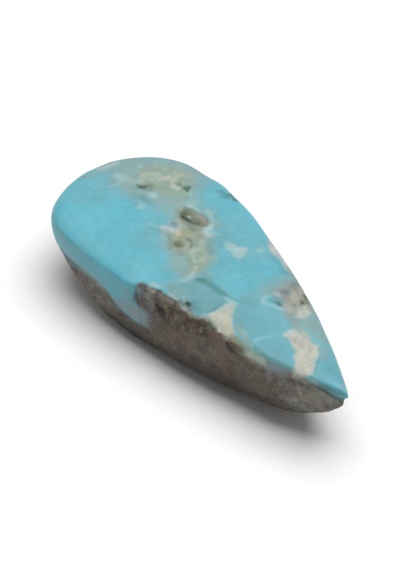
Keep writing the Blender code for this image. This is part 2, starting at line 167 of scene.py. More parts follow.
SANDY_ZONE = (
    patch("haze", 0.85, 0.45, (-7.6, 1.1), (-6.2, 1.7), (-5.2, 2.2), (-4, 2.1), (-2.8, 1.6), (-1.8, 1.1),
          (-1, 0.4), (-0.2, -1), (-0.2, -2.9), (-1.6, -2.8), (-3, -2.2), (-4.5, -1.9), (-5.8, -1.3),
          (-6.6, -0.9), (-7.2, -0.4), (-6.8, 0.1), (-7.3, 0.6)),
    patch("sage", 0.9, 0.3, (-6.8, 1.3), (-5.9, 1.8), (-5.2, 2.1), (-4.6, 1.8), (-3.9, 1.4), (-2.9, 0.9),
          (-2.1, 0.5), (-1.4, 0.3), (-0.7, -0.9), (-0.5, -2), (-1.2, -2), (-2, -1.3), (-2.8, -1),
          (-3.6, -1.4), (-4.6, -1.3), (-5.2, -0.8), (-5.9, -0.5), (-6.3, 0.1), (-6.7, 0.6)),
    patch("khaki", 0.75, 0.3, (-5.9, 2), (-5.2, 2.1), (-4.5, 1.7), (-4.1, 1), (-4.9, 0.7), (-5.8, 1.1)),
    patch("sand", 0.95, 0.25, (-6.2, 0.8), (-5.5, 1.1), (-4.9, 0.6), (-5.1, 0), (-5.5, -0.3), (-6.1, -0.2),
          (-6.3, 0.3)),
    stroke("ivory", 0.7, 0.25, 0.16, (-6.1, 0.1), (-5.7, 0)),
    stroke("beige", 0.8, 0.2, 0.17, (-7.4, 1.15), (-6.8, 0.9), (-6.4, 0.5)),
    stroke("white", 0.4, 0.16, 0.1, (-6.6, 0.6), (-6.2, 0.2)),
    stroke("mauve", 0.8, 0.3, 0.25, (-7.5, 0.6), (-7.1, 0.2)),
    stroke("slate", 0.5, 0.2, 0.12, (-7.2, 0.5), (-6.75, 0.4)),
    stroke("olive", 0.5, 0.25, 0.24, (-6.4, 1.5), (-5.6, 1.5)),
    stroke("umber", 0.7, 0.25, 0.16, (-6.4, 1.75), (-5.7, 2.15)),
    stroke("olive", 0.6, 0.2, 0.14, (-7.1, 1.3), (-6.5, 1.45)),
    stroke("olive", 0.9, 0.16, 0.12, (-4.9, 0.35), (-4.4, 0.4), (-3.9, 0.1), (-3.65, -0.25)),
    stroke("beige", 0.6, 0.2, 0.12, (-4.5, 0.05), (-4, -0.2), (-3.8, -0.7)),
    stroke("olive", 0.6, 0.3, 0.25, (-5.8, -0.75), (-5.2, -1.15), (-4.5, -1.4)),
    patch("olive", 1, 0.2, (-5.4, -0.5), (-5, -0.15), (-4.4, -0.15), (-4.1, -0.6), (-4.3, -1.1),
          (-4.9, -1.1), (-5.2, -0.8)),
    stroke("dark", 0.3, 0.25, 0.2, (-4.8, -0.6), (-4.5, -0.8)),
    stroke("beige", 0.7, 0.2, 0.13, (-4.15, -1.3), (-3.95, -1.15)),
    stroke("celery", 0.6, 0.25, 0.2, (-4, 1.2), (-3.4, 0.8), (-3.1, 0.2)),
    stroke("deep", 0.4, 0.3, 0.2, (-3.6, 1.6), (-2.8, 1.1), (-2, 0.7)),
    stroke("celery", 0.75, 0.25, 0.22, (-3.4, -0.1), (-2.8, -0.4)),
    stroke("milk", 0.75, 0.14, 0.1, (-2.6, -0.55), (-1.8, -0.9)),
    stroke("celery", 0.85, 0.22, 0.24, (-2.1, 0.3), (-1.8, -0.3)),
    stroke("celery", 0.75, 0.2, 0.18, (-1.4, -1.1), (-1.1, -1.3)),
    stroke("olive", 0.3, 0.25, 0.2, (-2.4, -1.1), (-1.7, -1.2)),
    stroke("pewter", 0.55, 0.3, 0.25, (-3.9, -1.15), (-3.4, -1.3)),
    stroke("cream", 0.5, 0.2, 0.16, (-0.9, -1.6), (-0.6, -1.9)),
    stroke("milk", 0.85, 0.28, 0.24, (-0.5, -2), (-0.3, -2.9)),
    stroke("milk", 0.4, 0.3, 0.2, (-1.6, 0.4), (-1.4, 0.8)),
    stroke("ice", 0.6, 0.2, 0.14, (-6.3, -1.15), (-5.8, -1.15)),
    stroke("haze", 0.7, 0.28, 0.26, (-6.9, -0.8), (-6.3, -0.9)),
    stroke("white", 0.9, 0.25, 0.22, (-5.2, 2.35), (-4.9, 2.05), (-4.2, 2)),
    stroke("mauve", 0.4, 0.4, 0.3, (-5.8, -1.6), (-4.8, -1.8)),
    stroke("haze", 0.5, 0.4, 0.4, (-3.2, -2.2), (-2.2, -2.8)),
    stroke("ice", 0.85, 0.25, 0.18, (-8.2, -1.15), (-7.8, -0.95), (-7.4, -0.6)),
    stroke("white", 1, 0.25, 0.28, (-7.2, -0.45), (-6.9, -0.25), (-6.5, -0.1)),
)

FAR_EDGE = (
    stroke("deep", 0.85, 0.35, 0.3, (-9.2, 6.4), (-8.6, 6.5), (-8.3, 6.3)),
    stroke("pine", 0.95, 0.25, 0.22, (-8.5, 7), (-7.6, 6.8)),
    stroke("deep", 0.35, 0.3, 0.25, (0.6, 4.8), (2, 4.7), (3, 4.5)),
    stroke("lilac", 0.95, 0.22, 0.34, (-1.2, 6.1), (-0.4, 5.7), (0.6, 5.65), (1.6, 5.5), (2.6, 5.25)),
    stroke("cream", 0.7, 0.3, 0.25, (-0.7, 5.8), (-0.2, 5.5), (0.2, 5.3)),
    stroke("beige", 0.5, 0.25, 0.2, (1.9, 5.3), (2.5, 5)),
    stroke("mauve", 0.85, 0.3, 0.25, (2.6, 5.2), (3.8, 4.9), (5, 4.7)),
    stroke("fog", 0.7, 0.25, 0.2, (3.3, 5), (3.9, 4.9)),
    patch("milk", 0.9, 0.2, (-3, 2.75), (-2.2, 3.15), (-1.7, 3.25), (-1.3, 3.7), (-0.75, 3.35), (-0.4, 2.8),
          (-0.3, 2.3), (-0.8, 2.1), (-1.4, 2.25), (-2, 2.15), (-2.5, 2.4)),
    stroke("white", 0.7, 0.2, 0.2, (-1.5, 3.1), (-1.1, 3.35)),
    stroke("milk", 0.5, 0.2, 0.14, (-0.6, 4.7), (-0.5, 4.3)),
    patch("ice", 1, 0.15, (-0.9, 4.9), (-0.3, 5), (-0.15, 4.4), (-0.3, 4), (-0.7, 4)),
    stroke("pale", 0.6, 0.25, 0.14, (-0.5, 4), (-0.7, 3.4)),
)

GREY_PATCH = (
    patch("haze", 0.85, 0.6, (7, 1.4), (10, 1.5), (12.4, 1.9), (12.2, 2.4), (10.2, 3.2), (8.6, 3.8),
          (7.8, 3)),
    patch("mauve", 1, 0.35, (4, 4.8), (5.2, 4.6), (5.8, 3.2), (6.2, 2.2), (5.6, 1.8), (4.9, 2), (4.4, 2.8)),
    patch("mauve", 0.8, 0.35, (6, 2.2), (7.2, 2.4), (8.6, 1.9), (9.6, 1.4), (9.4, 0.9), (7.8, 1.2),
          (6.9, 1.6)),
    patch("taupe", 0.95, 0.25, (4.8, 4.8), (6.2, 4.4), (7.4, 4.1), (8.4, 3.8), (8.2, 2.6), (7.4, 2.2),
          (6.4, 2.1), (5.8, 2.4), (5.4, 3.2), (5, 4)),
    stroke("pewter", 0.7, 0.3, 0.25, (4.5, 4.4), (4.9, 3.9)),
    stroke("pewter", 0.5, 0.3, 0.25, (5, 2.7), (5.6, 2.4)),
    stroke("beige", 0.5, 0.3, 0.3, (5.8, 3.5), (6.4, 3)),
    stroke("beige", 0.4, 0.3, 0.25, (5.4, 4.5), (5.9, 4.3)),
    patch("pewter", 0.95, 0.2, (4.8, 3), (4.95, 3.35), (5.5, 3.25), (5.75, 2.85), (5.25, 2.6)),
    stroke("olive", 0.9, 0.2, 0.16, (6, 4.3), (6.6, 4), (7.2, 3.8)),
    stroke("dark", 0.9, 0.12, 0.08, (6.1, 4.3), (6.5, 4.1)),
    stroke("umber", 0.95, 0.18, 0.2, (6.8, 3.55), (7.1, 3.3)),
    stroke("dark", 1, 0.12, 0.11, (6.95, 3.45), (7.1, 3.35)),
    stroke("umber", 0.8, 0.14, 0.1, (6.9, 2.65), (7.1, 2.6)),
    patch("cream", 0.8, 0.3, (7.3, 3.4), (7.8, 3.5), (8.4, 3.2), (8.8, 2.3), (8.4, 1.9), (7.9, 2.3),
          (7.4, 2.8)),
    stroke("beige", 0.7, 0.3, 0.22, (6.8, 2), (7.6, 1.9)),
    stroke("white", 0.6, 0.25, 0.18, (5, 2.3), (5.5, 2.1)),
    stroke("deep", 0.55, 0.25, 0.22, (5.5, 1.9), (6.1, 2)),
    stroke("pine", 1, 0.2, 0.2, (6.1, 1.65), (6.45, 1.65)),
    stroke("deep", 0.6, 0.2, 0.14, (5.4, 1.4), (6, 1.5)),
    stroke("ice", 1, 0.16, 0.14, (5.05, 1.6), (5.15, 1), (5.5, 0.75), (5.9, 0.85), (6.3, 1.1), (6.8, 1.35)),
    stroke("white", 0.6, 0.16, 0.08, (5.2, 0.9), (5.6, 0.75)),
    stroke("white", 0.5, 0.16, 0.08, (6.8, 1.35), (7.2, 1.6)),
)

DARK_ARC = (
    patch("deep", 0.9, 0.25, (0, -2.1), (0.2, -1.4), (1, -1.15), (2.2, -1.1), (3.4, -1.1), (4.2, -0.95),
          (4.2, -1.1), (3.3, -1.4), (2.4, -1.65), (1, -1.75), (0.5, -2.1)),
    stroke("deep", 0.5, 0.22, 0.16, (-0.1, -1.15), (0.8, -1.05)),
    stroke("sage", 0.5, 0.22, 0.16, (-0.1, -1.1), (0.5, -1.06)),
    stroke("deep", 0.7, 0.18, 0.1, (0.8, -1.7), (1.8, -1.6), (2.6, -1.5)),
    stroke("pine", 0.6, 0.18, 0.12, (0.1, -2), (0.35, -1.75), (0.7, -1.65)),
    stroke("deep", 0.75, 0.2, 0.12, (4, -2.2), (4.05, -2.8), (4.1, -3.4)),
    stroke("ice", 0.95, 0.18, 0.18, (3.5, -1.45), (3.9, -1.35), (4.5, -1.2)),
    stroke("teal", 0.7, 0.3, 0.2, (5, -1.2), (6.2, -2.1), (7.6, -2.5)),
    stroke("deep", 0.5, 0.3, 0.2, (2.6, -3.9), (3.4, -3.9), (3.9, -3.8)),
)

CREAM_TRIANGLE = (
    patch("cream", 1, 0.16, (4.1, -1.3), (4.6, -1.2), (5.05, -1.75), (5.5, -2.2), (6.35, -2.7),
          (7.05, -3.1), (7.7, -3.35), (7.05, -3.75), (6.35, -3.95), (5.8, -4.05), (5.3, -4), (4.8, -3.9),
          (4.4, -3.6), (4.35, -2.8), (4.15, -2)),
    stroke("milk", 0.8, 0.2, 0.16, (4.15, -1.5), (4.25, -2.1), (4.3, -2.6)),
    stroke("haze", 0.6, 0.25, 0.2, (4.5, -1.5), (4.8, -1.8)),
    stroke("haze", 0.4, 0.25, 0.18, (5.2, -2.25), (6, -2.65)),
    stroke("ivory", 0.9, 0.3, 0.3, (5.6, -2.95), (6.3, -3.3), (6.8, -3.5)),
    stroke("beige", 0.35, 0.25, 0.2, (4.7, -2.6), (5, -3.5)),
    stroke("khaki", 0.9, 0.2, 0.15, (4.8, -3.85), (5.6, -3.82)),
    stroke("milk", 0.8, 0.2, 0.16, (4.15, -3.9), (4.35, -3.85)),
    stroke("sage", 0.7, 0.16, 0.16, (4.3, -3.95), (4.6, -3.9)),
    stroke("haze", 0.9, 0.25, 0.2, (6.8, -2.6), (8, -2.75), (9.2, -2.9)),
    stroke("milk", 0.45, 0.2, 0.14, (7.6, -2.5), (8.2, -2.75)),
    stroke("sand", 0.6, 0.16, 0.12, (7.3, -3.3), (8.6, -3.2)),
    stroke("moss", 0.95, 0.14, 0.1, (7.4, -3.6), (7.8, -3.4), (8.6, -3.3)),
    stroke("olive", 0.95, 0.14, 0.14, (4.5, -4.1), (5, -3.98)),
    stroke("olive", 0.95, 0.14, 0.14, (5.2, -4), (5.8, -3.98)),
)

CREAM_PATCH = (
    patch("cream", 1, 0.16, (9.6, 0.9), (9.9, 1.25), (10.6, 1.4), (11.2, 1.35), (11.6, 1.05), (12, 1.15),
          (12.35, 1.4), (12.65, 0.95), (13.25, 0.7), (13.55, 0.3), (13.85, -0.1), (14.3, -0.3),
          (14.65, -0.8), (14.85, -1.1), (14.5, -1.6), (14.3, -2.4), (13.5, -2.4), (13.35, -1.7),
          (13, -1.35), (12.5, -1.15), (12.1, -0.7), (11.4, -0.5), (10.8, -0.3), (10.3, -0.1), (9.9, -0.4),
          (9.7, -0.1)),
    patch("haze", 0.85, 0.3, (9.2, 1.3), (10, 1.45), (10.4, 0.9), (9.9, 0.5), (9.4, 0.5)),
    stroke("haze", 0.45, 0.25, 0.2, (10.4, 1.2), (11.4, 1.1)),
    stroke("white", 0.85, 0.22, 0.2, (9.75, 0.6), (9.85, 0.1), (9.88, -0.15)),
    stroke("beige", 0.9, 0.3, 0.28, (10.5, 0.1), (11.7, 0.2)),
    stroke("lilac", 0.4, 0.4, 0.3, (10.4, 0.8), (11.2, 0.5)),
    stroke("beige", 0.5, 0.25, 0.18, (12, 0.6), (12.6, 0.3)),
    stroke("sage", 0.6, 0.16, 0.12, (12.6, 1.15), (12.9, 0.95)),
    stroke("haze", 0.5, 0.2, 0.14, (11.6, -0.55), (12.3, -0.65)),
    stroke("haze", 0.6, 0.16, 0.12, (11.6, 1.2), (12, 1.3)),
    stroke("teal", 0.5, 0.25, 0.2, (14.95, -0.8), (15.8, -0.7)),
    stroke("teal", 0.6, 0.25, 0.2, (11, -2.15), (12.4, -1.9)),
    stroke("ivory", 0.5, 0.3, 0.22, (12.1, -0.2), (12.9, -0.4), (13.3, -0.9)),
    stroke("white", 0.7, 0.16, 0.1, (13.3, 0.5), (13.8, -0.1), (14.6, -0.9)),
    stroke("taupe", 0.7, 0.12, 0.07, (9.9, 1.2), (10.4, 0.95)),
    stroke("taupe", 0.5, 0.12, 0.06, (10.6, 0.9), (11.1, 0.6), (11.7, 0.7)),
    stroke("taupe", 0.4, 0.14, 0.05, (12.2, 0.8), (12.7, 0), (13.4, -0.8)),
    stroke("deep", 0.6, 0.16, 0.08, (13.55, 0.5), (14, -0.05), (14.75, -0.75)),
    stroke("deep", 0.35, 0.2, 0.1, (10.2, -0.45), (11.4, -0.65), (12.1, -1)),
    stroke("mauve", 0.6, 0.35, 0.25, (12.8, 1.4), (13.4, 1), (13.8, 0.7)),
    stroke("mauve", 0.7, 0.2, 0.12, (10.2, 3.05), (13, 2.15), (17, 0.65)),
    stroke("ice", 0.95, 0.12, 0.1, (9.1, -2.4), (9.15, -1.9), (9.3, -1.5), (9.45, -1.2)),
    stroke("deep", 0.5, 0.16, 0.08, (9.35, -2.2), (9.4, -1.7)),
    stroke("teal", 0.8, 0.16, 0.08, (9.2, 0.8), (9.15, 0.2), (9.3, -0.3)),
    patch("teal", 0.9, 0.2, (14.5, -1.7), (14.9, -1.25), (16, -0.85), (17.6, -0.25), (17.6, -0.6),
          (14.6, -2.2)),
    stroke("deep", 0.7, 0.22, 0.2, (9.7, -2.85), (10.8, -2.7), (11.8, -2.45), (13.4, -1.95)),
)

NEAR_EDGE = (
    stroke("deep", 0.3, 0.4, 0.25, (-4.4, -5.7), (-3.3, -5.75)),
    stroke("milk", 0.4, 0.2, 0.12, (-3.2, -6.1), (-2.9, -6.1)),
    stroke("celery", 0.55, 0.16, 0.13, (0.5, -4.66), (1.5, -4.55)),
    stroke("pewter", 1, 0.14, 0.2, (1.6, -4.5), (2.1, -4.42), (2.9, -4.38)),
    stroke("pewter", 0.6, 0.2, 0.12, (3.2, -4.4), (3.9, -4.3)),
    stroke("taupe", 0.9, 0.12, 0.14, (2.2, -4.7), (2.6, -4.64), (3.4, -4.5), (4.2, -4.25), (4.6, -4.05)),
    stroke("khaki", 0.9, 0.16, 0.2, (7.2, -3.5), (8, -3.35), (9.4, -3.25), (10.8, -3.1)),
    patch("rock", 1, 0.1, (-2.4, -5.75), (-1.9, -5.5), (-1.5, -5.35), (-1, -5.2), (-0.55, -5.02),
          (0, -4.95), (0.6, -4.8), (1.1, -4.68), (1.55, -4.6), (2, -4.75), (2.5, -4.7), (3.2, -4.55),
          (3.9, -4.38), (4.4, -4.12), (5, -4.05), (5.9, -4.02), (6.6, -3.85), (7.2, -3.7), (8, -3.5),
          (9, -3.4), (9.9, -3.35), (10.75, -3.3), (11.2, -4.5), (10.5, -7), (-2.6, -8)),
    stroke("plum", 0.8, 0.3, 0.3, (-2, -5.9), (-1.2, -5.6)),
    stroke("taupe", 0.45, 0.2, 0.12, (-1.4, -5.5), (-0.9, -5.45)),
    stroke("soot", 0.9, 0.14, 0.1, (-0.9, -5.2), (-0.4, -5.1)),
    stroke("ash", 0.7, 0.16, 0.12, (-0.2, -5.2), (0.5, -5.1)),
    stroke("moss", 0.6, 0.16, 0.1, (0.7, -4.95), (1.7, -4.8)),
    stroke("taupe", 0.7, 0.16, 0.12, (0.8, -5.1), (1.2, -5.05)),
    stroke("soot", 0.6, 0.14, 0.08, (0.5, -5.35), (1, -5.22), (1.6, -5.05)),
    stroke("white", 0.5, 0.14, 0.08, (0.4, -4.68), (0.9, -4.62)),
    stroke("umber", 0.7, 0.1, 0.08, (1.6, -4.68), (2.1, -4.7)),
    stroke("umber", 0.8, 0.14, 0.12, (3.1, -4.7), (3.9, -4.42)),
    stroke("soot", 1, 0.12, 0.12, (2.4, -4.98), (3.4, -4.75), (4.2, -4.55), (4.9, -4.3)),
    stroke("dark", 0.9, 0.12, 0.1, (4.4, -4.2), (5.1, -4.05), (5.8, -4)),
    stroke("pine", 0.6, 0.16, 0.1, (1.7, -4), (2.7, -4.2)),
    patch("jet", 1, 0.08, (1.8, -4.05), (2.1, -3.88), (2.5, -4), (2.45, -4.3), (2, -4.32)),
    stroke("ice", 1, 0.14, 0.18, (-1.65, -5.15), (-1.2, -4.95), (-0.8, -4.8)),
    stroke("white", 0.7, 0.12, 0.12, (-1.5, -5.1), (-1, -4.9)),
    stroke("rust", 0.8, 0.14, 0.1, (5.9, -4), (6.6, -3.9)),
    stroke("khaki", 0.6, 0.14, 0.1, (6.6, -3.82), (7.2, -3.66)),
)

TOP_MARKS = (CELLS + ROUND_END + PIT + SANDY_ZONE + FAR_EDGE + GREY_PATCH + DARK_ARC + CREAM_TRIANGLE
             + CREAM_PATCH + NEAR_EDGE)

# Marks on the near wall, by X and Z
NEAR_MARKS = (
    patch("azure", 1, 0.6, (-21, 9), (21, 9), (21, 1), (-21, 1)),
    patch("fog", 0.15, 1, (-19, 7), (-11, 7), (-7, 6), (-6, 4), (-19, 4)),
    stroke("teal", 0.6, 0.4, 0.3, (-12.2, 6.1), (-11.2, 5.8)),
    stroke("deep", 0.4, 0.3, 0.25, (-13.5, 5.6), (-13.2, 5.7)),
    stroke("deep", 0.15, 0.5, 0.4, (-5.6, 6.4), (-5, 6), (-4.9, 5)),
    # Painted sheen: these two pale strokes along the top of the near wall lighten it as a reflection would
    stroke("pale", 0.3, 0.3, 0.25, (-12.5, 6.15), (-7, 6.15)),
    stroke("ice", 0.2, 0.3, 0.25, (-7, 6), (-3.2, 6)),
    patch("haze", 0.4, 0.5, (-12, 5), (-8, 5.1), (-5.6, 4.8), (-5.4, 4), (-12, 4.2)),
    patch("fog", 0.45, 0.5, (-3.7, 5.9), (-2.6, 5.9), (-2.4, 4.4), (-3.6, 4.2)),
    patch("fog", 0.9, 0.5, (-4.9, 4), (-3.4, 4.5), (-0.6, 4.7), (-0.3, 3), (-4.4, 3)),
    patch("pewter", 0.9, 0.4, (-1.7, 4.9), (-0.6, 5), (0.2, 4.4), (0, 2.8), (-1.7, 2.8)),
    patch("pewter", 0.9, 0.3, (-10.2, 4.5), (-7, 4.4), (-5.4, 4.15), (-4.6, 3.6), (-4.2, 3.1),
          (-10.2, 3.4)),
    stroke("fog", 0.6, 0.3, 0.25, (-2.5, 4.8), (-2.6, 3.4)),
    stroke("fog", 0.6, 0.4, 0.4, (-1.3, 4.2), (-1.4, 3.6)),
    patch("rock", 1, 0.2, (-19.5, 3.8), (-14, 3.8), (-11.5, 3.9), (-10, 3.9), (-8.5, 4), (-7, 3.9),
          (-6, 3.95), (-5.3, 3.85), (-4.8, 3.6), (-4.3, 3.3), (-3.6, 3.1), (-2.8, 3), (-2, 3), (-0.9, 3.1),
          (-0.4, 3.4), (-0.2, 4), (-0.4, 4.6), (-0.9, 4.9), (-1.4, 4.85), (-1.8, 4.68), (-2.2, 4.78),
          (-2.45, 5.2), (-2.4, 5.8), (-2.15, 6.5), (-2.1, 8), (9.2, 8), (9.4, 6.45), (11, 6.4), (13.2, 6.4),
          (14.6, 6.3), (15.6, 6.1), (16.4, 6), (17, 5.8), (17.6, 5.5), (19.5, 5.3), (19.5, -2),
          (-19.5, -2)),
    patch("ash", 0.8, 0.5, (-9.4, 4.4), (-7, 4.3), (-5.6, 4.1), (-4.6, 2.8), (-7, 1.6), (-8.6, 2.2)),
    patch("plum", 0.6, 0.35, (-0.7, 4.7), (0, 4.6), (0.2, 3.2), (-0.6, 3.2)),
    stroke("pewter", 0.7, 0.3, 0.22, (-5, 3.2), (-4.4, 3.15)),
    stroke("moss", 0.45, 0.4, 0.3, (-6.4, 3.7), (-5.2, 3.2), (-4.8, 2.6)),
    stroke("ash", 0.6, 0.5, 0.5, (-4, 2.2), (-1.4, 2.2)),
    patch("slate", 0.9, 0.3, (-19, 4.3), (-12.6, 4.5), (-10.5, 4.55), (-9.4, 4.3), (-9.4, 3.95),
          (-10.6, 3.8), (-12.6, 3.8), (-19, 3.8)),
    stroke("pine", 0.8, 0.25, 0.16, (-11, 4.3), (-9.8, 4.2)),
    stroke("fog", 0.6, 0.2, 0.16, (-6.8, 4.1), (-6.3, 4.15)),
    stroke("slate", 0.55, 0.2, 0.12, (-5, 3.55), (-4.3, 3.2), (-3.4, 3), (-2.6, 2.95), (-1, 3)),
    patch("moss", 0.45, 0.5, (-0.8, 3.4), (0.2, 4), (0.8, 2.6), (0, 2), (-0.8, 2.4)),
    patch("rust", 0.2, 0.6, (1, 5), (4, 5), (4.6, 3.6), (1.6, 3.2)),
    patch("rust", 0.5, 0.5, (7, 4.4), (8, 4.4), (8.2, 3.2), (7.2, 3.2)),
    patch("rust", 0.4, 0.5, (8.6, 3), (10.4, 3), (10, 2), (8.4, 2)),
    patch("moss", 0.45, 0.5, (10.4, 4.4), (11.6, 4.4), (11.6, 3.2), (10.4, 3.2)),
    patch("plum", 0.9, 0.3, (-2.4, 5), (-2.4, 6.2), (-1.9, 6.7), (-0.4, 6.6), (-0.6, 5), (-1.4, 4.7)),
    stroke("fog", 0.8, 0.3, 0.28, (-2.2, 6.5), (-2, 5.8)),
    stroke("ash", 0.8, 0.25, 0.3, (-1.1, 6.4), (-0.8, 5.8), (-0.6, 5.1)),
    stroke("taupe", 0.5, 0.25, 0.22, (-1.4, 6.1), (-0.8, 6.1)),
    stroke("ash", 0.7, 0.25, 0.2, (-0.6, 6.3), (-0.3, 5.6)),
    stroke("soot", 0.45, 0.2, 0.14, (-1.6, 6), (-1.9, 5.6)),
    stroke("moss", 0.5, 0.2, 0.2, (-2, 5.1), (-1.5, 5.1)),
    stroke("soot", 0.35, 0.2, 0.12, (-2.3, 5.4), (-2.25, 5), (-1.8, 4.8)),
    patch("crust", 0.95, 0.3, (-0.2, 4.9), (-0.3, 5.8), (0.2, 6.7), (5.6, 6.7), (5.8, 5.7), (3.6, 5.1),
          (1, 4.8)),
    stroke("soot", 0.5, 0.2, 0.14, (0, 4.8), (0.5, 5.1)),
    stroke("soot", 0.5, 0.3, 0.25, (0.5, 6), (1.2, 6.15)),
    stroke("soot", 0.4, 0.25, 0.2, (2.7, 5.95), (3.7, 5.9)),
    stroke("moss", 0.8, 0.16, 0.14, (0.8, 6), (1.3, 6.4)),
    stroke("rust", 0.6, 0.25, 0.22, (1.4, 5.6), (2.2, 5.8)),
    stroke("soot", 0.95, 0.12, 0.1, (1.9, 6.35), (2.2, 6.1)),
    stroke("plum", 0.5, 0.25, 0.2, (2.3, 5.8), (2.6, 5.9)),
    stroke("soot", 0.95, 0.2, 0.2, (2.9, 5.5), (3.2, 6.1)),
    stroke("rust", 0.6, 0.3, 0.25, (3.6, 5.7), (4.2, 5.5)),
    stroke("soot", 0.95, 0.16, 0.16, (3.9, 6.2), (4.9, 6.2)),
    stroke("soot", 0.9, 0.2, 0.16, (4.9, 5.5), (5.1, 6)),
    stroke("ash", 0.8, 0.16, 0.14, (5.45, 5.9), (5.5, 5.75)),
    stroke("olive", 0.8, 0.14, 0.1, (4.8, 6.45), (5.3, 6.4)),
    stroke("pink", 0.95, 0.25, 0.25, (6, 6.1), (6.9, 6.2)),
    stroke("rust", 0.6, 0.3, 0.25, (5.9, 5.8), (6.6, 5.8)),
    stroke("sand", 0.85, 0.25, 0.22, (6.9, 6.2), (8.6, 6.3)),
    stroke("rust", 0.9, 0.25, 0.22, (7.5, 5.9), (8.1, 5.75)),
    stroke("khaki", 0.4, 0.25, 0.2, (8.3, 5.6), (8.7, 5.6)),
    stroke("moss", 0.8, 0.2, 0.16, (8.2, 6), (8.8, 6.1)),
    stroke("soot", 1, 0.14, 0.14, (7.05, 5.75), (7.25, 5.6)),
    stroke("soot", 0.95, 0.14, 0.12, (7.3, 5.5), (7.7, 5.4)),
    stroke("soot", 0.6, 0.14, 0.08, (7.7, 5.4), (9, 5.35)),
    patch("khaki", 0.9, 0.35, (8.6, 6.8), (11.2, 6.8), (11.2, 5.8), (10.6, 5.6), (9.8, 5.7), (9, 5.8)),
    patch("celery", 1, 0.35, (9, 6.7), (11.4, 6.7), (11.1, 6), (10.6, 5.7), (9.2, 5.85)),
    stroke("olive", 0.9, 0.18, 0.12, (9.9, 5.75), (10.2, 5.65)),
    stroke("olive", 0.8, 0.18, 0.12, (10.3, 5.45), (10.7, 5.35)),
    stroke("cream", 0.6, 0.16, 0.1, (10.9, 6.3), (11.1, 5.9)),
    patch("pewter", 0.85, 0.35, (11.2, 6.8), (13.3, 6.8), (13.2, 5.8), (12.6, 5.3), (11.3, 5.3)),
    patch("fog", 0.85, 0.35, (11, 6.8), (13.4, 6.8), (13, 6), (11.2, 5.7)),
    stroke("ash", 0.6, 0.3, 0.35, (11.4, 5), (12.8, 4.9)),
    patch("ash", 0.9, 0.6, (13, 5.6), (16.8, 5.4), (17.4, 5), (15.6, 3), (13.4, 2.4), (12.6, 3.8)),
    patch("taupe", 0.7, 0.3, (14.1, 6.8), (16.4, 6.5), (15.4, 5.9), (14.4, 5.7)),
    patch("beige", 0.55, 0.3, (13.3, 6.4), (14.4, 6.4), (14.2, 5.9), (13.4, 5.7)),
    patch("cream", 0.9, 0.2, (13.3, 7.2), (14.6, 7.2), (14.5, 6.4), (13.9, 6.3), (13.4, 6.3)),
    stroke("soot", 0.7, 0.2, 0.16, (13.1, 5.3), (13.3, 5.4)),
    stroke("soot", 0.5, 0.2, 0.12, (13.9, 5.4), (14.2, 5.4)),
    stroke("dark", 0.8, 0.16, 0.14, (14.8, 5.65), (15.2, 5.85)),
    stroke("dark", 0.6, 0.2, 0.12, (13.8, 5.5), (14.2, 5.6)),
    stroke("sand", 0.25, 0.4, 0.3, (14.2, 4.3), (15, 4.5)),
    stroke("slate", 0.8, 0.16, 0.1, (15.2, 6), (14.8, 5.6)),
    stroke("taupe", 0.6, 0.2, 0.14, (13.9, 5), (14.1, 5)),
    stroke("taupe", 0.5, 0.2, 0.14, (13.6, 3.7), (13.8, 3.7)),
    stroke("taupe", 0.5, 0.25, 0.2, (14.4, 3.2), (14.8, 3.2)),
    patch("khaki", 0.5, 0.4, (15.2, 5.7), (17, 5.5), (17.6, 5.1), (16.4, 4.6), (15.2, 4.8)),
    patch("deep", 0.85, 0.3, (15.4, 6.9), (18.6, 7), (18, 5.6), (17, 5.7), (16.2, 6.1)),
    patch("pine", 1, 0.18, (15.3, 6.1), (16.3, 6.1), (17.1, 5.8), (17.8, 5.6), (17.6, 5.3), (16.9, 5.4),
          (16.2, 5.75), (15.4, 5.85)),
    stroke("pine", 0.6, 0.16, 0.12, (16.5, 5.95), (17.1, 5.9)),
    stroke("slate", 0.6, 0.3, 0.22, (16, 6.25), (17.2, 5.95)),
    stroke("jet", 1, 0.12, 0.12, (15.6, 5.95), (16.2, 5.85), (16.8, 5.6), (17.2, 5.4)),
    stroke("pine", 0.7, 0.16, 0.1, (17, 5.4), (17.4, 5.1)),
)

